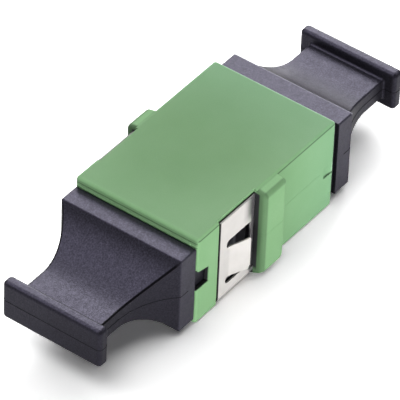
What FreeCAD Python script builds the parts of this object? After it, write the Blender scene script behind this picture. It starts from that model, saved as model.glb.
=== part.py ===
"""Fibre coupler for two multi-fibre push-on plugs, with its spring clip and two dust caps.

Units are millimetres.  X runs along the coupler, front port at -X.  Z is up, and z = 0 is the underside of
the housing.  The origin is under the middle rib between the two ports.
"""
import FreeCAD, Part
import math
import os

# Housing, the green moulding
HOUSING_FRONT_X = -10.1
HOUSING_REAR_X = 9.5
HOUSING_WIDTH = 12.9
HOUSING_HEIGHT = 9.45
EDGE_ROUND = 0.28
UPRIGHT_ROUND = 0.3

# Ports, one at each end, on a common axis
PORT_AXIS_Z = 4.53
MOUTH_WIDTH = 12.1
MOUTH_HEIGHT = 7.6
MOUTH_STEP_X = 8.3
CAVITY_WIDTH = 11.6
CAVITY_HEIGHT = 7.4
MIDDLE_RIB = 1.0
MIDDLE_RIB_HEIGHT = 0.3
KEYWAY_WIDTH = 3.0
KEYWAY_DEPTH = 0.45
KEYWAY_END_X = 7.2

# Shallow lip across the front end, above the mouth
LIP_WIDTH = 11.4
LIP_BOTTOM_Z = 8.56
LIP_TOP_Z = 8.95
LIP_PROUD = 0.09
LIP_CHAMFER = 0.06

# Panel flange, one tab on each narrow side
FLANGE_FRONT_X = -1.9
FLANGE_LENGTH = 3.1
FLANGE_PROUD = 0.95
FLANGE_FOOT_Z = 0.08
FLANGE_BOTTOM_Z = 0.55
FLANGE_TOP_Z = 9.44
FLANGE_TOP_DROP = 0.3
FLANGE_ROUND = 0.45
FLANGE_UPRIGHT_ROUND = 0.4
FLANGE_CORNER = 0.55

# Side notches at the front mouth and shallow side pockets at the rear end
NOTCH_DEPTH = 1.62
NOTCH_BOTTOM_Z = 3.86
NOTCH_ROOT_TOP_Z = 5.53
NOTCH_MOUTH_TOP_Z = 5.93
POCKET_LENGTH = 1.45
POCKET_HEIGHT = 1.25
POCKET_DEPTH = 0.3
POCKET_AXIS_Z = 4.45

# Spring clip, stainless sheet in a recess just in front of the flange
CLIP_FRONT_X = -6.98
SHEET = 0.15
CLIP_FRONT_GAP = 0.22
CLIP_REAR_GAP = 0.05
CLIP_SIDE_GAP = 0.16
CLIP_SEAT_GAP = 0.02
CLIP_TOP_Z = 9.17
CLIP_BEND = 0.65
CURL_RADIUS = 2.2
CURL_ANGLE = 22.0
CURL_BOTTOM_Z = 0.95
CURL_SLIT = 0.08
WINDOW_FRONT = 1.02
WINDOW_LENGTH = 3.42
WINDOW_BOTTOM_Z = 1.58
WINDOW_TOP_Z = 6.45
WINDOW_ROUND = 0.4
WINDOW_REAR_ROUND = 0.12
WINDOW_MARGIN = 0.12
TONGUE_BOTTOM_Z = 2.3
TONGUE_TOP_Z = 5.65
TONGUE_REACH = 2.4
TONGUE_FLAT = 0.32
TONGUE_ROOT_ROUND = 0.3
TONGUE_ANGLE = 22.0
TONGUE_BEND = 0.6
TONGUE_CORNER = 0.35

# Latch inserts, one behind each port
INSERT_FIT = 0.05
INSERT_PLATE = 1.85
INSERT_APERTURE_WIDTH = 7.0
INSERT_APERTURE_HEIGHT = 4.6
ARM_INNER_Y = 3.95
ARM_THICKNESS = 0.85
ARM_HEIGHT = 3.2
ARM_TIP_X = 7.5
HOOK_INNER_Y = 3.42
HOOK_LENGTH = 1.5
HOOK_LAND = 0.35

# Dust caps, the same moulding at both ends
CAP_WIDTH = 12.65
CAP_HEIGHT = 7.95
SHOULDER_X = 10.2
CAP_FACE_X = 12.15
WAIST_X = 17.8
WAIST_HALF_WIDTH = 3.95
WAIST_HALF_HEIGHT = 1.0
BAR_INNER_X = 20.4
BAR_OUTER_X = 21.6
BAR_WIDTH = 10.3
BAR_HEIGHT = 4.0
BAR_ROUND = 0.4
WEB_ROOT_ROUND = 0.25
CAP_EDGE_ROUND = 0.15
PLUG_WIDTH = 11.96
PLUG_HEIGHT = 7.46
PLUG_TIP_X = 8.45
SKIRT_WIDTH = 11.4
SKIRT_HEIGHT = 7.2
SKIRT_WALL = 0.7
SKIRT_TIP_X = 3.75
SKIRT_FLOOR_X = 8.6
SKIRT_LEAD = 0.3

HALF_WIDTH = HOUSING_WIDTH / 2
PORT_REACH_X = LIP_PROUD - HOUSING_FRONT_X
CLIP_REAR_X = FLANGE_FRONT_X - CLIP_REAR_GAP
CURL_TURN = math.radians(CURL_ANGLE)
CURL_START_X = CLIP_REAR_X - CURL_RADIUS * math.sin(CURL_TURN)
CURL_DROP = CURL_RADIUS * (1 - math.cos(CURL_TURN))
RECESS_FLOOR_Y = HALF_WIDTH - SHEET - CLIP_SIDE_GAP
FRONT = -1
REAR = 1
SIDES = (-1, 1)


def vec(x, y, z):
    return FreeCAD.Vector(x, y, z)


def box(x_range, y_range, z_range):
    """A box between two limits on each axis, given in either order."""
    low = [min(pair) for pair in (x_range, y_range, z_range)]
    size = [abs(pair[1] - pair[0]) for pair in (x_range, y_range, z_range)]
    return Part.makeBox(*size, vec(*low))


def centred_box(x_range, width, height, axis_z):
    """A box along X, centred on y = 0 and on the given height."""
    return box(x_range, (-width / 2, width / 2), (axis_z - height / 2, axis_z + height / 2))


def prism(points, direction):
    """A straight-sided outline, extruded."""
    outline = [vec(*p) for p in points]
    return Part.Face(Part.makePolygon(outline + outline[:1])).extrude(vec(*direction))


def mirror_y(shape):
    return shape.mirror(vec(0, 0, 0), vec(0, 1, 0))


def facing(shape, end):
    """A shape drawn for the rear port, or the same shape turned half round for the front one."""
    if end == FRONT:
        return shape.rotated(vec(0, 0, 0), vec(0, 0, 1), 180)
    return shape


def edges_where(shape, test):
    """The edges whose middle point passes the test."""
    chosen = []
    for edge in shape.Edges:
        middle = edge.valueAt((edge.FirstParameter + edge.LastParameter) / 2)
        if test(edge, middle):
            chosen.append(edge)
    return chosen


def near(a, b):
    return abs(a - b) < 1e-4


def housing_body():
    """The outer block with all its edges rounded, and the lip across its front end."""
    ends = (HOUSING_FRONT_X, HOUSING_REAR_X)
    body = box(ends, (-HALF_WIDTH, HALF_WIDTH), (0, HOUSING_HEIGHT))
    body = body.makeFillet(UPRIGHT_ROUND, edges_where(body, lambda e, m: near(m.z, HOUSING_HEIGHT / 2)))
    body = body.makeFillet(EDGE_ROUND, edges_where(body, lambda e, m: near(m.z, 0) or near(m.z, HOUSING_HEIGHT)))
    lip_x = HOUSING_FRONT_X - LIP_PROUD
    lip = box((lip_x, HOUSING_FRONT_X + EDGE_ROUND), (-LIP_WIDTH / 2, LIP_WIDTH / 2), (LIP_BOTTOM_Z, LIP_TOP_Z))
    lip = lip.makeChamfer(LIP_CHAMFER, edges_where(lip, lambda e, m: near(m.x, lip_x)))
    return body.fuse(lip)


def flange_tab():
    """One tab of the panel flange, on the +Y side, sloped above and below and rounded along its outer edges."""
    rear_x = FLANGE_FRONT_X + FLANGE_LENGTH
    inner_y = HALF_WIDTH - FLANGE_ROUND
    outer_y = HALF_WIDTH + FLANGE_PROUD
    outer_top_z = FLANGE_TOP_Z - FLANGE_TOP_DROP
    outline = [
        (FLANGE_FRONT_X, inner_y, FLANGE_TOP_Z),
        (FLANGE_FRONT_X, outer_y, outer_top_z),
        (FLANGE_FRONT_X, outer_y, FLANGE_BOTTOM_Z),
        (FLANGE_FRONT_X, HALF_WIDTH, FLANGE_FOOT_Z),
        (FLANGE_FRONT_X, inner_y, FLANGE_FOOT_Z),
    ]
    tab = prism(outline, (FLANGE_LENGTH, 0, 0))
    foot_corner = [
        (rear_x - FLANGE_CORNER, inner_y, 0),
        (rear_x, inner_y, 0),
        (rear_x, inner_y, FLANGE_BOTTOM_Z + FLANGE_CORNER),
        (rear_x - FLANGE_CORNER, inner_y, FLANGE_BOTTOM_Z),
    ]
    tab = tab.cut(prism(foot_corner, (0, HALF_WIDTH, 0)))
    top_outer = edges_where(tab, lambda e, m: near(m.z, outer_top_z) and near(m.y, outer_y))
    tab = tab.makeFillet(FLANGE_ROUND, top_outer)
    uprights = edges_where(tab, lambda e, m: near(m.y, outer_y) and e.Length > HOUSING_HEIGHT / 2)
    return tab.makeFillet(FLANGE_UPRIGHT_ROUND, uprights)


def u_channel(outer_half_width, outer_bottom_z, leg, web, top_z, bend, x_range):
    """A U, open at the top, running along X, with legs and web of the given thicknesses."""
    def half_profile(half_width, bottom_z, radius):
        swing = radius * (1 - math.sqrt(0.5))
        leg_foot = vec(x_range[0], half_width, bottom_z + radius)
        web_end = vec(x_range[0], half_width - radius, bottom_z)
        arc_middle = vec(x_range[0], half_width - swing, bottom_z + swing)
        return leg_foot, arc_middle, web_end

    def flip(p):
        return vec(p.x, -p.y, p.z)

    outer = half_profile(outer_half_width, outer_bottom_z, bend)
    inner = half_profile(outer_half_width - leg, outer_bottom_z + web, bend - max(leg, web))
    outer_top = vec(x_range[0], outer_half_width, top_z)
    inner_top = vec(x_range[0], outer_half_width - leg, top_z)
    edges = [
        Part.LineSegment(outer_top, outer[0]).toShape(),
        Part.Arc(*outer).toShape(),
        Part.LineSegment(outer[2], flip(outer[2])).toShape(),
        Part.Arc(flip(outer[2]), flip(outer[1]), flip(outer[0])).toShape(),
        Part.LineSegment(flip(outer[0]), flip(outer_top)).toShape(),
        Part.LineSegment(flip(outer_top), flip(inner_top)).toShape(),
        Part.LineSegment(flip(inner_top), flip(inner[0])).toShape(),
        Part.Arc(flip(inner[0]), flip(inner[1]), flip(inner[2])).toShape(),
        Part.LineSegment(flip(inner[2]), inner[2]).toShape(),
        Part.Arc(inner[2], inner[1], inner[0]).toShape(),
        Part.LineSegment(inner[0], inner_top).toShape(),
        Part.LineSegment(inner_top, outer_top).toShape(),
    ]
    return Part.Face(Part.Wire(edges)).extrude(vec(x_range[1] - x_range[0], 0, 0))


def clip_recess():
    """The groove for the clip, let into the bottom and both narrow sides and open at the top face.

    Each side is ramped deeper towards the flange, for the turned-in edge of the clip.
    """
    margin = 1.0
    leg = HALF_WIDTH + margin - RECESS_FLOOR_Y
    web = SHEET + CLIP_SEAT_GAP + margin
    top_z = HOUSING_HEIGHT + margin
    groove = u_channel(HALF_WIDTH + margin, -margin, leg, web, top_z, CLIP_BEND - SHEET + leg,
                       (CLIP_FRONT_X - CLIP_FRONT_GAP, FLANGE_FRONT_X))
    outline = [
        (CURL_START_X, RECESS_FLOOR_Y, CURL_BOTTOM_Z),
        (FLANGE_FRONT_X, RECESS_FLOOR_Y - CURL_DROP / 2, CURL_BOTTOM_Z),
        (FLANGE_FRONT_X, HALF_WIDTH, CURL_BOTTOM_Z),
        (CURL_START_X, HALF_WIDTH, CURL_BOTTOM_Z),
    ]
    ramp = prism(outline, (0, 0, CLIP_TOP_Z - CURL_BOTTOM_Z))
    return groove.fuse([ramp, mirror_y(ramp)])


def side_notch():
    """The flared notch through the side walls at the front mouth."""
    mouth_x = HOUSING_FRONT_X - LIP_PROUD
    root_x = HOUSING_FRONT_X + NOTCH_DEPTH
    outline = [
        (mouth_x, -HALF_WIDTH, NOTCH_BOTTOM_Z),
        (root_x, -HALF_WIDTH, NOTCH_BOTTOM_Z),
        (root_x, -HALF_WIDTH, NOTCH_ROOT_TOP_Z),
        (mouth_x, -HALF_WIDTH, NOTCH_MOUTH_TOP_Z),
    ]
    return prism(outline, (0, HOUSING_WIDTH, 0))


def rear_pocket():
    """The shallow ramped pocket in one side face at the rear end, deepest at its inner end."""
    inner_x = HOUSING_REAR_X - POCKET_LENGTH
    bottom_z = POCKET_AXIS_Z - POCKET_HEIGHT / 2
    outline = [
        (inner_x, HALF_WIDTH - POCKET_DEPTH, bottom_z),
        (HOUSING_REAR_X, HALF_WIDTH - POCKET_DEPTH / 4, bottom_z),
        (HOUSING_REAR_X, HALF_WIDTH + POCKET_DEPTH, bottom_z),
        (inner_x, HALF_WIDTH + POCKET_DEPTH, bottom_z),
    ]
    return prism(outline, (0, 0, POCKET_HEIGHT))


def port_cut(end):
    """The mouth, the deeper cavity and the keyway of one port.  The keys of the two ports are opposed."""
    mouth = centred_box((MOUTH_STEP_X, PORT_REACH_X), MOUTH_WIDTH, MOUTH_HEIGHT, PORT_AXIS_Z)
    cavity = centred_box((MIDDLE_RIB / 2, PORT_REACH_X), CAVITY_WIDTH, CAVITY_HEIGHT, PORT_AXIS_Z)
    key_reach = MOUTH_HEIGHT / 2 + KEYWAY_DEPTH
    keyway = box((KEYWAY_END_X, PORT_REACH_X), (-KEYWAY_WIDTH / 2, KEYWAY_WIDTH / 2),
                 (PORT_AXIS_Z, PORT_AXIS_Z + end * key_reach))
    return facing(mouth.fuse([cavity, keyway]), end)


def make_housing():
    body = housing_body()
    tab = flange_tab()
    body = body.fuse([tab, mirror_y(tab)])
    body = body.cut(clip_recess())
    middle = centred_box((-MIDDLE_RIB, MIDDLE_RIB), CAVITY_WIDTH - 2 * MIDDLE_RIB_HEIGHT,
                         CAVITY_HEIGHT - 2 * MIDDLE_RIB_HEIGHT, PORT_AXIS_Z)
    windows = box((CLIP_FRONT_X + WINDOW_FRONT - WINDOW_MARGIN, FLANGE_FRONT_X), (-HALF_WIDTH, HALF_WIDTH),
                  (CURL_BOTTOM_Z, WINDOW_TOP_Z + WINDOW_MARGIN))
    pocket = rear_pocket()
    cuts = [port_cut(FRONT), port_cut(REAR), middle, windows, side_notch(), pocket, mirror_y(pocket)]
    return body.cut(cuts).removeSplitter()


def clip_window():
    """The window cut through both legs of the clip, well rounded beside the root of the tongue."""
    x_range = (CLIP_FRONT_X + WINDOW_FRONT, CLIP_FRONT_X + WINDOW_FRONT + WINDOW_LENGTH)
    window = box(x_range, (-HALF_WIDTH, HALF_WIDTH), (WINDOW_BOTTOM_Z, WINDOW_TOP_Z))
    for x, radius in zip(x_range, (WINDOW_ROUND, WINDOW_REAR_ROUND)):
        window = window.makeFillet(radius, edges_where(window, lambda e, m: near(m.y, 0) and near(m.x, x)))
    return window


def bent_strip(outer_y, start_x, before, radius, turn, after, z_range):
    """A strip of sheet on the +Y side: flat, then bent about Z, then straight on.

    A positive turn bends it outwards and a negative one inwards.  The radius is that of the outer face.
    """
    sense = 1 if turn > 0 else -1
    centre = vec(start_x, outer_y + sense * radius, z_range[0])

    def on_bend(reach, angle):
        return centre + vec(reach * math.sin(abs(angle)), -sense * reach * math.cos(angle), 0)

    along = vec(math.cos(turn), math.sin(turn), 0) * after
    angles = (0, turn / 2, turn)
    outer = [on_bend(radius, angle) for angle in angles]
    inner = [on_bend(radius + sense * SHEET, angle) for angle in angles]
    flat = vec(-before, 0, 0)
    edges = [
        Part.LineSegment(outer[0] + flat, outer[0]).toShape(),
        Part.Arc(*outer).toShape(),
        Part.Arc(*inner).toShape(),
        Part.LineSegment(inner[0], inner[0] + flat).toShape(),
        Part.LineSegment(inner[0] + flat, outer[0] + flat).toShape(),
        Part.LineSegment(outer[2] + along, inner[2] + along).toShape(),
    ]
    if after > 0:
        edges.append(Part.LineSegment(outer[2], outer[2] + along).toShape())
        edges.append(Part.LineSegment(inner[2], inner[2] + along).toShape())
    outline = Part.Wire(Part.__sortEdges__(edges))
    return Part.Face(outline).extrude(vec(0, 0, z_range[1] - z_range[0]))


def clip_tongue(outer_y):
    """The lanced tongue of the +Y leg: rooted at the window's front edge, bent outwards, one tip corner clipped."""
    angle = math.radians(TONGUE_ANGLE)
    bend_x = CLIP_FRONT_X + WINDOW_FRONT + TONGUE_FLAT
    straight = (TONGUE_REACH - TONGUE_FLAT - TONGUE_BEND * math.sin(angle)) / math.cos(angle)
    tongue = bent_strip(outer_y, bend_x, TONGUE_FLAT + WINDOW_ROUND, TONGUE_BEND, angle, straight,
                        (TONGUE_BOTTOM_Z, TONGUE_TOP_Z))
    tip_x = bend_x - TONGUE_FLAT + TONGUE_REACH
    clipped = edges_where(tongue, lambda e, m: abs(m.x - tip_x) < SHEET and near(m.z, TONGUE_BOTTOM_Z)
                          and near(e.Length, SHEET))
    return tongue.makeChamfer(TONGUE_CORNER, clipped)


def turned_in_edge(outer_y):
    """The rear edge of the +Y leg, curled into the housing just in front of the flange."""
    return bent_strip(outer_y, CURL_START_X, SHEET, CURL_RADIUS, -CURL_TURN, 0,
                      (CURL_BOTTOM_Z + CURL_SLIT, CLIP_TOP_Z))


def make_spring_clip():
    """The U-shaped strip with its curled rear edges, windows and tongues."""
    outer_y = HALF_WIDTH - CLIP_SEAT_GAP / 2
    strip = u_channel(outer_y, CLIP_SEAT_GAP / 2, SHEET, SHEET, CLIP_TOP_Z, CLIP_BEND, (CLIP_FRONT_X, CLIP_REAR_X))
    strip = strip.cut(box((CURL_START_X, CLIP_REAR_X), (-HALF_WIDTH, HALF_WIDTH), (CURL_BOTTOM_Z, HOUSING_HEIGHT)))
    curl = turned_in_edge(outer_y)
    tongue = clip_tongue(outer_y)
    clip = strip.fuse([curl, mirror_y(curl)]).cut(clip_window())
    clip = clip.fuse([tongue, mirror_y(tongue)]).removeSplitter()
    root_x = CLIP_FRONT_X + WINDOW_FRONT
    roots = edges_where(clip, lambda e, m: near(m.x, root_x) and near(e.Length, SHEET)
                        and (near(m.z, TONGUE_BOTTOM_Z) or near(m.z, TONGUE_TOP_Z)))
    return clip.makeFillet(TONGUE_ROOT_ROUND, roots)


def latch_arm():
    """One latch arm, on the +Y side of the rear insert, with a hook at its tip turned inwards."""
    outer_y = ARM_INNER_Y + ARM_THICKNESS
    root_x = MIDDLE_RIB / 2 + INSERT_PLATE / 2
    bottom_z = PORT_AXIS_Z - ARM_HEIGHT / 2
    outline = [
        (root_x, outer_y, bottom_z),
        (ARM_TIP_X, outer_y, bottom_z),
        (ARM_TIP_X, ARM_INNER_Y, bottom_z),
        (ARM_TIP_X - HOOK_LENGTH + HOOK_LAND, HOOK_INNER_Y, bottom_z),
        (ARM_TIP_X - HOOK_LENGTH, HOOK_INNER_Y, bottom_z),
        (ARM_TIP_X - HOOK_LENGTH, ARM_INNER_Y, bottom_z),
        (root_x, ARM_INNER_Y, bottom_z),
    ]
    return prism(outline, (0, 0, ARM_HEIGHT))


def make_latch_insert(end):
    """The frame plate on the middle rib, with its aperture and its two latch arms."""
    plate_x = (MIDDLE_RIB / 2, MIDDLE_RIB / 2 + INSERT_PLATE)
    plate = centred_box(plate_x, CAVITY_WIDTH - 2 * INSERT_FIT, CAVITY_HEIGHT - 2 * INSERT_FIT, PORT_AXIS_Z)
    aperture = centred_box((0, ARM_TIP_X), INSERT_APERTURE_WIDTH, INSERT_APERTURE_HEIGHT, PORT_AXIS_Z)
    arm = latch_arm()
    return facing(plate.cut(aperture).fuse([arm, mirror_y(arm)]).removeSplitter(), end)


def waisted_profile(half_block, half_waist, place):
    """The outline of the pull, one half block to waist, seen square on and closed by mirroring.

    place(x, offset) puts a point of the outline into space.
    """
    run = WAIST_X - CAP_FACE_X
    drop = half_block - half_waist
    radius = (run ** 2 + drop ** 2) / (2 * drop)
    half_run = run / 2
    middle_offset = half_waist + radius - math.sqrt(radius ** 2 - half_run ** 2)
    edges = []
    for sign in SIDES:
        corner = place(CAP_FACE_X, sign * half_block)
        edges.append(Part.LineSegment(place(SHOULDER_X, sign * half_block), corner).toShape())
        edges.append(Part.Arc(corner, place(WAIST_X - half_run, sign * middle_offset),
                              place(WAIST_X, sign * half_waist)).toShape())
        edges.append(Part.LineSegment(place(WAIST_X, sign * half_waist),
                                      place(BAR_INNER_X + BAR_ROUND, sign * half_waist)).toShape())
    for x, half in ((SHOULDER_X, half_block), (BAR_INNER_X + BAR_ROUND, half_waist)):
        edges.append(Part.LineSegment(place(x, -half), place(x, half)).toShape())
    return Part.Face(Part.Wire(Part.__sortEdges__(edges)))


def cap_pull():
    """The block and waisted web: a plan outline and a side outline, each extruded, and what they share."""
    plan = waisted_profile(CAP_WIDTH / 2, WAIST_HALF_WIDTH, lambda x, y: vec(x, y, 0))
    side = waisted_profile(CAP_HEIGHT / 2, WAIST_HALF_HEIGHT, lambda x, z: vec(x, -CAP_WIDTH, PORT_AXIS_Z + z))
    pull = plan.extrude(vec(0, 0, HOUSING_HEIGHT)).common(side.extrude(vec(0, 2 * CAP_WIDTH, 0)))
    ends = (SHOULDER_X, BAR_INNER_X + BAR_ROUND)
    rounded = edges_where(pull, lambda e, m: not near(m.x, ends[0]) and not near(m.x, ends[1]))
    return pull.makeFillet(CAP_EDGE_ROUND, rounded)


def cap_handle():
    """The pull with the bar across its end, filleted where the web runs into the bar."""
    bar = centred_box((BAR_INNER_X, BAR_OUTER_X), BAR_WIDTH, BAR_HEIGHT, PORT_AXIS_Z)
    bar = bar.makeFillet(BAR_ROUND, bar.Edges)
    handle = cap_pull().fuse(bar).removeSplitter()
    web_root = edges_where(handle, lambda e, m: near(m.x, BAR_INNER_X)
                           and abs(m.y) < WAIST_HALF_WIDTH + WEB_ROOT_ROUND
                           and abs(m.z - PORT_AXIS_Z) < WAIST_HALF_HEIGHT + WEB_ROOT_ROUND)
    return handle.makeFillet(WEB_ROOT_ROUND, web_root)


def cap_skirt():
    """What goes into the port: a plug that fits the mouth, and a hollow skirt round the latch arms."""
    plug = centred_box((PLUG_TIP_X, SHOULDER_X), PLUG_WIDTH, PLUG_HEIGHT, PORT_AXIS_Z)
    skirt = centred_box((SKIRT_TIP_X, SHOULDER_X), SKIRT_WIDTH, SKIRT_HEIGHT, PORT_AXIS_Z)
    skirt = skirt.makeChamfer(SKIRT_LEAD, edges_where(skirt, lambda e, m: near(m.x, SKIRT_TIP_X)))
    return plug.fuse(skirt)


def make_dust_cap(end):
    hollow = centred_box((0, SKIRT_FLOOR_X), SKIRT_WIDTH - 2 * SKIRT_WALL,
                         SKIRT_HEIGHT - 2 * SKIRT_WALL, PORT_AXIS_Z)
    cap = cap_handle().fuse(cap_skirt()).cut(hollow).removeSplitter()
    return facing(cap, end)


NODES = {
    "housing": make_housing(),
    "spring_clip": make_spring_clip(),
    "front_latch_insert": make_latch_insert(FRONT),
    "rear_latch_insert": make_latch_insert(REAR),
    "front_dust_cap": make_dust_cap(FRONT),
    "rear_dust_cap": make_dust_cap(REAR),
}

os.makedirs("parts", exist_ok=True)
for name, shape in NODES.items():
    shape.exportStep("parts/" + name + ".step")
    print(name, "solids", len(shape.Solids), "valid", shape.isValid(), "volume %.2f" % shape.Volume)
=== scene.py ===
"""Looks for the fibre coupler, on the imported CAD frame: materials, moulding lines, floor, light and camera."""

import math

import bmesh
import bpy
from mathutils import Matrix, Vector


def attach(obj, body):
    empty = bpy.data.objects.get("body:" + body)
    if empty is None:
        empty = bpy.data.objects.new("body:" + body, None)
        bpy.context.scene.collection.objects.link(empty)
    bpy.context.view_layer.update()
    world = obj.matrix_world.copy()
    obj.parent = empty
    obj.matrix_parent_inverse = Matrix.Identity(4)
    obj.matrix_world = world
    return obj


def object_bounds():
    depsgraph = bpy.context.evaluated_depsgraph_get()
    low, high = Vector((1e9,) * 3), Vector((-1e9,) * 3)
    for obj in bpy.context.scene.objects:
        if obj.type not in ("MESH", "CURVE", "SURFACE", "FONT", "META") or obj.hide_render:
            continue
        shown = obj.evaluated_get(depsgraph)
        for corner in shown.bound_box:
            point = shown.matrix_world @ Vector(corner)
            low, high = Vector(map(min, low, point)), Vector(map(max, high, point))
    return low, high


MM = 0.001

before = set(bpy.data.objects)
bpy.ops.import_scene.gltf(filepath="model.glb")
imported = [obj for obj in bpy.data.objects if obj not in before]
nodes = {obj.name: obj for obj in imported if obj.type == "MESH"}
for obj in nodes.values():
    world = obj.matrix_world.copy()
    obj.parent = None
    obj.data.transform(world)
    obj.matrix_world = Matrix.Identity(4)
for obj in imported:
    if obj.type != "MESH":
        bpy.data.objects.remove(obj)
cad_box = [list(corner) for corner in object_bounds()]


# Places on the solids, in millimetres

def extents(name):
    """The lowest and the highest corner of a node's mesh."""
    places = [vert.co / MM for vert in nodes[name].data.vertices]
    return Vector([min(axis) for axis in zip(*places)]), Vector([max(axis) for axis in zip(*places)])


HOUSING_LOW, HOUSING_HIGH = extents("housing")
LIP_PROUD = 0.09
HOUSING_FRONT_X = HOUSING_LOW.x + LIP_PROUD
HOUSING_REAR_X = HOUSING_HIGH.x
HOUSING_TOP_Z = HOUSING_HIGH.z
HOUSING_SIDE_Y = 6.45
HOUSING_LINE_Z = 4.72
LIP_BOTTOM_Z = 8.56
LIP_TOP_Z = 8.95
NOTCH_END_X = HOUSING_FRONT_X + 1.62
NOTCH_BOTTOM_Z = 3.86
NOTCH_TOP_Z = 5.93
POCKET_FRONT_X = HOUSING_REAR_X - 1.45
FLANGE_FRONT_X = -1.9
FLANGE_REAR_X = FLANGE_FRONT_X + 3.1
FLANGE_OUTER_Y = HOUSING_HIGH.y

CLIP_LOW, CLIP_HIGH = extents("spring_clip")
CLIP_WINDOW_REAR_X = CLIP_LOW.x + 4.44
CLIP_WINDOW_TOP_Z = 6.45

CAP_LOW, CAP_HIGH = extents("front_dust_cap")
CAP_LINE_Z = (CAP_LOW.z + CAP_HIGH.z) / 2
CAP_HALF_HEIGHT = (CAP_HIGH.z - CAP_LOW.z) / 2
CAP_HALF_WIDTH = CAP_HIGH.y
CAP_SHOULDER_X = 10.2
CAP_FACE_X = 12.15
CAP_WAIST_X = 17.8
CAP_BAR_X = 20.4
WAIST_HALF_WIDTH = 3.95
WAIST_HALF_HEIGHT = 1.0


# Node helpers

class Nodes:
    """A small builder for the node tree of one material or world."""

    def __init__(self, owner):
        self.owner = owner
        owner.use_nodes = True
        self.tree = owner.node_tree
        self.tree.nodes.clear()

    def add(self, kind, inputs=None, **settings):
        """A new node. An input given as a socket is linked, and one given as a constant is set."""
        node = self.tree.nodes.new("ShaderNode" + kind)
        for key, value in settings.items():
            setattr(node, key, value)
        for key, value in (inputs or {}).items():
            if isinstance(value, bpy.types.NodeSocket):
                self.tree.links.new(value, node.inputs[key])
            else:
                node.inputs[key].default_value = value
        return node

    def maths(self, operation, a, b=0.0):
        return self.add("Math", {0: a, 1: b}, operation=operation).outputs[0]

    def coordinates(self, scale=(1, 1, 1), shift=(0, 0, 0)):
        """Object coordinates in metres, stretched by a scale on each axis and then shifted."""
        place = self.add("TexCoord").outputs["Object"]
        return self.add("Mapping", {"Vector": place, "Scale": scale, "Location": shift}).outputs["Vector"]

    def axes(self):
        """Object coordinates on the three axes, in metres, with the distance to either side for Y."""
        split = self.add("SeparateXYZ", {0: self.coordinates()}).outputs
        return split["X"], self.maths("ABSOLUTE", split["Y"]), split["Z"]

    def length(self, vector):
        return self.add("VectorMath", {0: vector}, operation="LENGTH").outputs["Value"]

    def noise(self, scale, detail=2.0, rough=0.5, stretch=(1, 1, 1)):
        return self.add("TexNoise", {"Vector": self.coordinates(stretch), "Scale": scale, "Detail": detail,
                                     "Roughness": rough}).outputs["Fac"]

    def moved(self, source, start, end, low=0.0, high=1.0, **settings):
        """A value moved from the range between start and end to the range between low and high."""
        return self.add("MapRange", {"Value": source, "From Min": start, "From Max": end, "To Min": low,
                                     "To Max": high}, **settings).outputs["Result"]

    def spread(self, noise, low, high):
        """A noise value moved to a range of plain numbers."""
        return self.moved(noise, 0.25, 0.75, low, high)

    def ramp(self, source, stops):
        node = self.add("ValToRGB", {"Fac": source})
        elements = node.color_ramp.elements
        while len(elements) < len(stops):
            elements.new(0.5)
        for element, (position, colour) in zip(elements, stops):
            element.position = position
            element.color = (*colour, 1)
        return node.outputs["Color"]

    def above(self, source, place, soft):
        """A mask that rises from 0 at a place to 1 a soft width past it, both in millimetres."""
        return self.moved(source, place * MM, (place + soft) * MM)

    def below(self, source, place, soft):
        """A mask that rises from 0 at a place to 1 a soft width short of it, both in millimetres."""
        return self.above(source, place, -soft)

    def where(self, *masks):
        """A mask that is 1 only where every mask is 1."""
        whole = masks[0]
        for mask in masks[1:]:
            whole = self.maths("MULTIPLY", whole, mask)
        return whole

    def either(self, *masks):
        """A mask that is 1 where any of the masks is 1."""
        whole = masks[0]
        for mask in masks[1:]:
            whole = self.maths("MAXIMUM", whole, mask)
        return whole

    def mix(self, factor, a, b, blend_type="MIX"):
        """One colour that turns into another as the factor goes from 0 to 1."""
        return self.add("Mix", {0: factor, 6: a, 7: b}, data_type="RGBA", blend_type=blend_type).outputs[2]

    def multiply(self, a, b):
        return self.mix(1.0, a, b, "MULTIPLY")

    def blend(self, mask, colour, constant):
        """A colour that turns into a constant one where the mask is 1."""
        return self.mix(mask, colour, (*constant, 1))

    def scaled(self, colour, mask, factor):
        """A colour multiplied by a factor where the mask is 1."""
        return self.multiply(colour, self.moved(mask, 0.0, 1.0, 1.0, factor))

    def bump(self, height, depth, strength):
        """The normal of a fine relief, its depth in millimetres."""
        node = self.add("Bump", {"Height": height, "Strength": strength, "Distance": depth * MM})
        return node.outputs["Normal"]

    def surface(self, colour, roughness, normal, **inputs):
        """The finished material, with a principled shader. An underscore in a name stands for a space."""
        inputs = {name.replace("_", " "): value for name, value in inputs.items()}
        inputs.update({"Base Color": colour, "Roughness": roughness, "Normal": normal})
        return self.finished(self.add("BsdfPrincipled", inputs))

    def finished(self, shader, output="OutputMaterial"):
        self.add(output, {"Surface": shader.outputs[0]})
        return self.owner


def new_material(name):
    return Nodes(bpy.data.materials.new(name))


# Materials

def green_tone(m, x):
    """The green itself with a faint grain, made paler towards the ends and corners by a painted sheen and bluer
    to the rear by a painted reflection.
    """
    drift = m.ramp(m.noise(260, 3.0), [(0.3, (0.161, 0.320, 0.144)), (0.7, (0.173, 0.335, 0.156))])
    grain = m.ramp(m.noise(9000), [(0.25, (0.93, 0.93, 0.93)), (0.75, (1.0, 1.0, 1.0))])
    # Painted sheen: the colour grows paler towards the ends and corners of the housing.
    apart = m.length(m.coordinates(scale=(0.075 / MM, 0.105 / MM, 0), shift=(0, -0.15, 0)))
    outer = m.moved(apart, 0.25, 1.05, interpolation_type="SMOOTHSTEP")
    painted_end_sheen = m.ramp(outer, [(0.0, (1.0, 1.0, 1.0)), (1.0, (1.31, 1.23, 1.35))])
    # Painted reflection: a bluish tint towards the rear end.
    painted_rear_reflection = m.ramp(m.above(x, 1.0, 8.0), [(0.0, (1.0, 1.0, 1.0)), (1.0, (0.99, 1.02, 1.10))])
    return m.multiply(m.multiply(m.multiply(drift, grain), painted_end_sheen), painted_rear_reflection)


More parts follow.
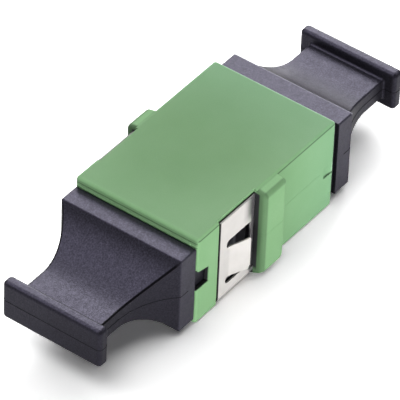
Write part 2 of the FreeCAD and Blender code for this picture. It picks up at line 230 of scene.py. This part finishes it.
def painted_housing_edges(m, colour, x, side, z):
    """Painted shade as dark hairlines along the top edges and the lip and on the front face above the lip, and
    painted highlights as pale rims at both ends.
    """
    at_side = m.where(m.above(side, HOUSING_SIDE_Y - 0.11, 0.04), m.below(side, HOUSING_SIDE_Y + 0.02, 0.015))
    under_top = m.where(m.above(z, HOUSING_TOP_Z - 0.29, 0.03), m.below(z, HOUSING_TOP_Z - 0.12, 0.05))
    in_front = m.below(x, HOUSING_FRONT_X + 0.08, 0.04)
    lip_top = m.where(in_front, m.above(z, LIP_TOP_Z - 0.03, 0.04), m.below(z, LIP_TOP_Z + 0.09, 0.04))
    lip_foot = m.where(in_front, m.above(z, LIP_BOTTOM_Z - 0.08, 0.04), m.below(z, LIP_BOTTOM_Z + 0.04, 0.03))
    lip_face = m.where(m.below(x, HOUSING_FRONT_X + 0.1, 0.05), m.below(z, HOUSING_TOP_Z - 0.15, 0.10),
                       m.above(z, LIP_BOTTOM_Z + 0.16, 0.04))
    at_ends = m.either(m.below(x, HOUSING_FRONT_X + 0.4, 0.3), m.above(x, HOUSING_REAR_X - 0.4, 0.3))
    end_rims = m.where(m.above(z, HOUSING_TOP_Z - 0.15, 0.12), at_ends)
    far_corner = m.where(m.above(x, HOUSING_REAR_X - 0.28, 0.18), m.above(side, HOUSING_SIDE_Y - 0.35, 0.25))
    skin_edge = m.either(m.above(z, HOUSING_TOP_Z - 0.25, 0.14), m.above(side, HOUSING_SIDE_Y - 0.13, 0.08))
    far_rim = m.where(m.above(x, HOUSING_REAR_X - 0.24, 0.12), skin_edge)
    # Painted shade: darker hairlines under the top's side edges and at the lip's top and foot.
    colour = m.scaled(colour, m.either(m.where(at_side, under_top), lip_top, lip_foot), 0.45)
    # Painted highlights along the top edges at both ends, at the far upright corner and on the far rim.
    colour = m.scaled(colour, m.either(end_rims, far_corner), 1.18)
    colour = m.blend(far_rim, colour, (0.44, 0.62, 0.48))
    # Painted shade on the front end face above the lip.
    return m.scaled(colour, lip_face, 0.74)


def painted_flange_shading(m, colour, x, side, z):
    """Painted shade on the front and upper round of each flange tab, and a painted highlight on the slope
    between them.
    """
    front = m.where(m.above(x, FLANGE_FRONT_X - 0.08, 0.03), m.below(x, FLANGE_FRONT_X + 0.48, 0.2),
                    m.above(side, HOUSING_SIDE_Y - 0.05, 0.06))
    run = m.where(m.above(x, FLANGE_FRONT_X + 0.15, 0.2), m.below(x, FLANGE_REAR_X + 0.05, 0.2))
    slope = m.where(run, m.above(side, HOUSING_SIDE_Y + 0.01, 0.1), m.below(side, FLANGE_OUTER_Y - 0.32, 0.1),
                    m.above(z, HOUSING_TOP_Z - 0.35, 0.05))
    upper = m.where(run, m.above(side, FLANGE_OUTER_Y - 0.4, 0.12), m.above(z, HOUSING_TOP_Z - 0.73, 0.23))
    colour = m.scaled(colour, front, 0.56)
    colour = m.scaled(colour, slope, 1.2)
    return m.scaled(colour, upper, 0.7)


def painted_hollow_shade(m, x, side, z):
    """A mask of painted shade in the clip's recess, the front notches and the root of the flange's front."""
    recess = m.where(m.below(side, HOUSING_SIDE_Y - 0.01, 0.06), m.below(z, CLIP_HIGH.z - 0.03, 0.06),
                     m.above(x, CLIP_LOW.x - 0.62, 0.1), m.below(x, FLANGE_FRONT_X + 0.04, 0.03))
    notch = m.where(m.below(side, HOUSING_SIDE_Y - 0.03, 0.08), m.above(z, NOTCH_BOTTOM_Z - 0.16, 0.1),
                    m.below(z, NOTCH_TOP_Z + 0.12, 0.07), m.below(x, NOTCH_END_X + 0.28, 0.1))
    flange_root = m.where(m.above(x, FLANGE_FRONT_X - 0.08, 0.03), m.below(x, FLANGE_FRONT_X + 0.04, 0.025),
                          m.below(side, HOUSING_SIDE_Y + 0.35, 0.12), m.below(z, HOUSING_TOP_Z - 0.3, 0.15),
                          m.above(z, 0.5, 0.4))
    return m.either(recess, notch, flange_root)


def green_plastic():
    """Satin moulded plastic with an uneven sheen. The light that it throws on the floor is nearly grey."""
    m = new_material("green_plastic")
    x, side, z = m.axes()
    colour = painted_housing_edges(m, green_tone(m, x), x, side, z)
    colour = painted_flange_shading(m, colour, x, side, z)
    # Painted shade: the hollows are made nearly black.
    colour = m.blend(painted_hollow_shade(m, x, side, z), colour, (0.032, 0.032, 0.035))
    colour = m.blend(m.add("LightPath").outputs["Is Diffuse Ray"], colour, (0.27, 0.28, 0.27))
    sheen = m.spread(m.noise(700, 3.0), 0.50, 0.60)
    skin = m.bump(m.noise(6500), 0.004, 0.35)
    return m.surface(colour, sheen, skin, IOR=1.5, Specular_IOR_Level=0.12)


def past_waist(m, along, across, block, waist):
    """How far, in metres, a place lies outside the arc from a cap block's half size to its waist's."""
    run = CAP_WAIST_X - CAP_FACE_X
    radius = (run ** 2 + (block - waist) ** 2) / (2 * (block - waist))
    left = m.maths("MAXIMUM", m.maths("SUBTRACT", CAP_WAIST_X * MM, along), 0.0)
    rest = m.maths("SUBTRACT", (radius * MM) ** 2, m.maths("POWER", left, 2.0))
    half = m.maths("SUBTRACT", (waist + radius) * MM, m.maths("SQRT", rest))
    return m.maths("SUBTRACT", across, half)


def cap_plastic():
    """Fine-textured matte black plastic with a faintly violet sheen, speckled by its spark-eroded grain.

    A painted highlight makes the rear cap's upper edge pale, painted shade makes a dark line without sheen along
    the edges of the front cap's pull, and painted light makes the block sides lighter.
    """
    m = new_material("cap_plastic")
    tone = m.ramp(m.noise(350, 3.0), [(0.3, (0.009, 0.0085, 0.011)), (0.7, (0.012, 0.0115, 0.015))])
    speckle = m.ramp(m.noise(7000, 3.0, 0.6), [(0.34, (0.49, 0.455, 0.68)), (0.52, (0.81, 0.75, 1.12)),
                                               (0.70, (1.22, 1.13, 1.62))])
    x, side, z = m.axes()
    # Painted highlight: the rear cap's upper block edge is made pale.
    painted_edge_highlight = m.where(m.above(x, CAP_FACE_X - 0.13, 0.07), m.below(x, CAP_FACE_X + 0.11, 0.07),
                        m.above(z, CAP_HIGH.z - 0.125, 0.06))
    along = m.maths("MULTIPLY", x, -1.0)
    aside = past_waist(m, along, side, CAP_HALF_WIDTH, WAIST_HALF_WIDTH)
    over = past_waist(m, along, m.maths("SUBTRACT", z, CAP_LINE_Z * MM), CAP_HALF_HEIGHT, WAIST_HALF_HEIGHT)
    # Painted shade and dark reflection: a dark line, with its sheen taken away, along the edges of the front
    # cap's pull.
    painted_pull_edge_shade = m.where(m.above(aside, -0.20, 0.08), m.above(over, -0.17, 0.05),
                        m.above(along, CAP_FACE_X + 0.05, 0.3), m.below(along, CAP_BAR_X - 0.05, 0.15))
    # Painted light: the block sides are made lighter.
    painted_lit_block_sides = m.above(side, CAP_HALF_WIDTH - 0.105, 0.08)
    tone = m.blend(painted_edge_highlight, tone, (0.15, 0.15, 0.17))
    tone = m.scaled(m.scaled(tone, painted_pull_edge_shade, 0.3), painted_lit_block_sides, 3.0)
    rough = m.spread(m.noise(2600, 3.0), 0.34, 0.46)
    grain = m.bump(m.noise(7600, 3.0, 0.6), 0.016, 0.55)
    return m.surface(tone, rough, grain, IOR=1.5, Specular_IOR_Level=0.46,
                     Specular_Tint=m.scaled(speckle, painted_pull_edge_shade, 0.12))


def seam_shade_plastic():
    """The dark hairline of a cap's moulding line, coloured darker than the cap as painted shade of the seam."""
    m = new_material("seam_shade_plastic")
    tone = m.ramp(m.noise(900), [(0.3, (0.004, 0.004, 0.005)), (0.7, (0.008, 0.008, 0.010))])
    rough = m.spread(m.noise(1800), 0.6, 0.7)
    grain = m.bump(m.noise(6000), 0.004, 0.4)
    return m.surface(tone, rough, grain, IOR=1.5, Specular_IOR_Level=0.15)


def insert_plastic():
    """Plain matte black plastic of the hidden inserts."""
    m = new_material("insert_plastic")
    tone = m.ramp(m.noise(500, 3.0), [(0.3, (0.055, 0.055, 0.062)), (0.7, (0.072, 0.071, 0.080))])
    rough = m.spread(m.noise(1800), 0.45, 0.58)
    grain = m.bump(m.noise(6000), 0.006, 0.4)
    return m.surface(tone, rough, grain, IOR=1.5)


def clip_steel():
    """Bright rolled stainless sheet, with its rolling lines running round the strip.

    Painted shade and a painted dark reflection darken it where its rear edge turns in, over a longer run above
    the window than beside it. Painted shade darkens its cut edges and its foot.
    """
    m = new_material("clip_steel")
    lines = m.noise(9000, 3.0, 0.6, stretch=(1, 0.03, 0.03))
    tone = m.ramp(m.noise(900, 3.0), [(0.3, (0.81, 0.78, 0.75)), (0.7, (0.88, 0.85, 0.82))])
    x, _, z = m.axes()
    # Painted shade and dark reflection where the rear edge turns in towards the flange.
    turn = [(0.0, (1.0, 1.0, 1.0)), (0.45, (0.72, 0.72, 0.73)), (0.75, (0.45, 0.45, 0.47)),
            (1.0, (0.24, 0.24, 0.26))]
    beside_window = m.ramp(m.above(x, CLIP_WINDOW_REAR_X - 0.12, 0.22), turn)
    over_window = m.ramp(m.above(x, CLIP_WINDOW_REAR_X - 1.16, 1.1), turn)
    shade = m.mix(m.above(z, CLIP_WINDOW_TOP_Z + 0.05, 0.9), beside_window, over_window)
    # Painted shade: the cut edges turn nearly black and the foot darker.
    painted_cut_edge_shade = m.either(m.above(z, CLIP_HIGH.z - 0.06, 0.06), m.below(x, CLIP_LOW.x + 0.12, 0.07))
    foot = m.below(z, 0.32, 0.22)
    tone = m.scaled(m.scaled(m.multiply(tone, shade), painted_cut_edge_shade, 0.06), foot, 0.30)
    polish = m.spread(lines, 0.10, 0.20)
    skin = m.bump(lines, 0.0012, 0.35)
    return m.surface(tone, polish, skin, Metallic=0.45)


MATERIALS = {
    "housing": green_plastic(),
    "spring_clip": clip_steel(),
    "front_latch_insert": insert_plastic(),
    "front_dust_cap": cap_plastic(),
}
MATERIALS["rear_latch_insert"] = MATERIALS["front_latch_insert"]
MATERIALS["rear_dust_cap"] = MATERIALS["front_dust_cap"]
for name, node in nodes.items():
    node.data.materials.clear()
    node.data.materials.append(MATERIALS[name])


# Moulding lines, where the two halves of each mould met

RIDGE_WIDTH = 0.09 * MM
RIDGE_PROUD = 0.022 * MM
RIDGE_SUNK = 0.02 * MM
WELD = 0.0002 * MM


def section(node, height, keep):
    """Runs of (point, outward direction) along a node's cross-section, for the points that are kept."""
    mesh = bmesh.new()
    mesh.from_mesh(nodes[node].data)
    bmesh.ops.remove_doubles(mesh, verts=mesh.verts, dist=WELD)
    cut = bmesh.ops.bisect_plane(mesh, geom=mesh.verts[:] + mesh.edges[:] + mesh.faces[:],
                                 plane_co=(0, 0, height), plane_no=(0, 0, 1))
    outward = {}
    follows = {}
    for edge in cut["geom_cut"]:
        if not isinstance(edge, bmesh.types.BMEdge):
            continue
        a, b = edge.verts
        if not (keep(a.co) and keep(b.co)):
            continue
        normal = sum((face.normal for face in edge.link_faces), Vector())
        for vert, other in ((a, b), (b, a)):
            outward[vert] = outward.get(vert, Vector()) + Vector((normal.x, normal.y, 0)).normalized()
            follows.setdefault(vert, []).append(other)
    runs = []
    left = set(follows)
    starts = sorted(left, key=lambda v: (len(follows[v]), v.co.x, v.co.y))
    for start in starts:
        if start not in left:
            continue
        run = [start]
        left.discard(start)
        while True:
            onward = [v for v in follows[run[-1]] if v in left]
            if not onward:
                break
            run.append(onward[0])
            left.discard(onward[0])
        if len(run) > 1:
            runs.append([(v.co.copy(), outward[v].normalized()) for v in run])
    mesh.free()
    return runs


def moulding_line(name, node, body, material, height, keep):
    """A hair-thin ridge that follows a node's surface at one height."""
    profile = [(-RIDGE_SUNK, -RIDGE_WIDTH / 2), (RIDGE_PROUD, -RIDGE_WIDTH / 6),
               (RIDGE_PROUD, RIDGE_WIDTH / 6), (-RIDGE_SUNK, RIDGE_WIDTH / 2)]
    mesh = bmesh.new()
    for run in section(node, height, keep):
        rings = []
        for point, out in run:
            rings.append([mesh.verts.new(point + out * proud + Vector((0, 0, up))) for proud, up in profile])
        for ring, following in zip(rings, rings[1:]):
            for i, j in ((0, 1), (1, 2), (2, 3), (3, 0)):
                mesh.faces.new((ring[i], ring[j], following[j], following[i]))
        mesh.faces.new(rings[0])
        mesh.faces.new(rings[-1])
    bmesh.ops.recalc_face_normals(mesh, faces=mesh.faces)
    data = bpy.data.meshes.new(name)
    mesh.to_mesh(data)
    mesh.free()
    data.materials.append(material)
    piece = bpy.data.objects.new(name, data)
    bpy.context.scene.collection.objects.link(piece)
    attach(piece, body)


def on_rear_sides(point):
    """On the narrow sides, from the flange's front face to the rear pockets."""
    x, side = point.x / MM, abs(point.y) / MM
    return side > HOUSING_SIDE_Y - 0.05 and FLANGE_FRONT_X - 0.01 < x < POCKET_FRONT_X - 0.05


def outside_port(point):
    """On the part of a cap that stands outside its port."""
    return abs(point.x) / MM > CAP_SHOULDER_X + 0.1


moulding_line("housing_moulding_line", "housing", "coupler", MATERIALS["housing"],
              HOUSING_LINE_Z * MM, on_rear_sides)
seam = seam_shade_plastic()
for end in ("front", "rear"):
    moulding_line(end + "_cap_moulding_line", end + "_dust_cap", end + "_cap", seam,
                  CAP_LINE_Z * MM, outside_port)


# Floor, light and camera

FLOOR_TONE = 1.8
FLOOR_GRAIN = 0.01
FLOOR_BOUNCE = 0.406
FLOOR_HALF = 3.0
FLOOR_DROP = 0.01 * MM
WHITE_FROM = 90
WHITE_RUN = 160
BOX_DISTANCE = 0.5
STRIP_DISTANCE = 0.4
LAMP_AIM = Vector((0, 0, 5 * MM))


def floor():
    """A plain pale floor that keeps the object's shadow, and is plain white further out."""
    m = new_material("floor_white")
    path = m.add("LightPath").outputs
    gain = m.moved(path["Is Camera Ray"], 0.0, 1.0, FLOOR_BOUNCE, 1.0)
    darker, lighter = ((tone,) * 3 for tone in (FLOOR_TONE - FLOOR_GRAIN, FLOOR_TONE + FLOOR_GRAIN))
    grain = m.ramp(m.noise(160), [(0.3, darker), (0.7, lighter)])
    diffuse = m.add("BsdfDiffuse", {"Color": m.multiply(grain, gain)})
    apart = m.length(m.coordinates(scale=(1, 1, 0)))
    further = m.where(m.above(apart, WHITE_FROM, WHITE_RUN),
                      m.either(path["Is Camera Ray"], path["Is Glossy Ray"], path["Is Transmission Ray"]))
    white = m.add("Emission", {"Color": (1, 1, 1, 1), "Strength": 1.0})
    whole = m.add("MixShader", {0: further, 1: diffuse.outputs[0], 2: white.outputs[0]})
    corners = [(-FLOOR_HALF, -FLOOR_HALF, 0), (FLOOR_HALF, -FLOOR_HALF, 0), (FLOOR_HALF, FLOOR_HALF, 0),
               (-FLOOR_HALF, FLOOR_HALF, 0)]
    data = bpy.data.meshes.new("floor")
    data.from_pydata(corners, [], [(0, 1, 2, 3)])
    data.materials.append(m.finished(whole))
    plane = bpy.data.objects.new("floor", data)
    plane.location.z = cad_box[0][2] - FLOOR_DROP
    bpy.context.scene.collection.objects.link(plane)


def soft_light(name, direction, distance, width, height, level, mirrored=True, lights=True):
    """A rectangular soft box that gives a surface facing it the stated share of full white.

    One that isn't mirrored lights the surfaces without showing in their sheen, and one that doesn't
    light them shows in their sheen alone.
    """
    lamp = bpy.data.lights.new(name, "AREA")
    lamp.shape = "RECTANGLE"
    lamp.size = width
    lamp.size_y = height
    lamp.energy = level * math.pi ** 2 * distance ** 2
    light = bpy.data.objects.new(name, lamp)
    towards = Vector(direction).normalized()
    light.location = LAMP_AIM + towards * distance
    light.rotation_mode = "QUATERNION"
    light.rotation_quaternion = towards.to_track_quat("Z", "Y")
    light.visible_glossy = mirrored
    light.visible_diffuse = lights
    bpy.context.scene.collection.objects.link(light)


def surroundings(walls, overhead):
    """A room that is dim along its walls and brighter overhead, and white where it is seen."""
    world = bpy.data.worlds.new("studio")
    bpy.context.scene.world = world
    w = Nodes(world)
    place = w.add("TexCoord").outputs["Generated"]
    height = w.add("SeparateXYZ", {0: place}).outputs["Z"]
    strength = w.moved(height, 0.35, 1.0, walls, overhead)
    seen = w.either(strength, w.add("LightPath").outputs["Is Camera Ray"])
    w.finished(w.add("Background", {"Color": (1, 1, 1, 1), "Strength": seen}), "OutputWorld")


def camera():
    """The photograph's view: a long lens from the front left, aimed a little off the object's middle."""
    azimuth, elevation, roll = (math.radians(a) for a in (-54.83115, 41.61341, 2.49899))
    image_size = 400
    focal_pixels = 5000
    pixels_per_metre = 11744.976
    aim_right, aim_up = -0.53 * MM, -0.89 * MM
    middle = Vector((-0.15 * MM, 0, 4.725 * MM))
    back = Vector((math.sin(azimuth) * math.cos(elevation), -math.cos(azimuth) * math.cos(elevation),
                   math.sin(elevation)))
    level_right = (-back).cross(Vector((0, 0, 1))).normalized()
    level_up = level_right.cross(-back)
    right = level_right * math.cos(roll) + level_up * math.sin(roll)
    up = level_up * math.cos(roll) - level_right * math.sin(roll)
    place = middle + right * aim_right + up * aim_up + back * (focal_pixels / pixels_per_metre)
    lens = bpy.data.cameras.new("camera")
    lens.sensor_fit = "HORIZONTAL"
    lens.sensor_width = 36.0
    lens.lens = lens.sensor_width * focal_pixels / image_size
    lens.clip_start = 0.01
    lens.clip_end = 20.0
    view = bpy.data.objects.new("camera", lens)
    view.matrix_world = Matrix((
        (right.x, up.x, back.x, place.x),
        (right.y, up.y, back.y, place.y),
        (right.z, up.z, back.z, place.z),
        (0, 0, 0, 1),
    ))
    bpy.context.scene.collection.objects.link(view)
    bpy.context.scene.camera = view


floor()
surroundings(walls=0.015, overhead=0.045)
soft_light("key_box", (0.70, -0.20, 0.68), BOX_DISTANCE, 0.34, 0.30, 0.17)
soft_light("top_box", (-0.30, 0.12, 0.94), BOX_DISTANCE, 0.26, 0.20, 0.12)
soft_light("back_box", (0.66, 0.425, 0.62), BOX_DISTANCE, 0.22, 0.22, 0.46)
soft_light("upper_box", (0.12, 0.47, 0.87), BOX_DISTANCE, 0.36, 0.24, 0.30, lights=False)
soft_light("upper_wash", (0.05, 0.36, 0.93), BOX_DISTANCE, 0.90, 0.80, 0.85, mirrored=False)
soft_light("back_strip", (0.80, 0.56, 0.20), BOX_DISTANCE, 0.40, 0.16, 0.41)
soft_light("right_strip", (-0.15, -0.98, 0.016), STRIP_DISTANCE, 0.24, 0.013, 0.88, mirrored=False)
soft_light("front_strip", (-0.92, -0.35, 0.016), STRIP_DISTANCE, 0.20, 0.013, 0.50, mirrored=False)
soft_light("left_box", (-0.50, 0.46, 0.73), BOX_DISTANCE, 0.40, 0.26, 0.33, lights=False)
camera()
bpy.context.scene.view_settings.view_transform = "Standard"
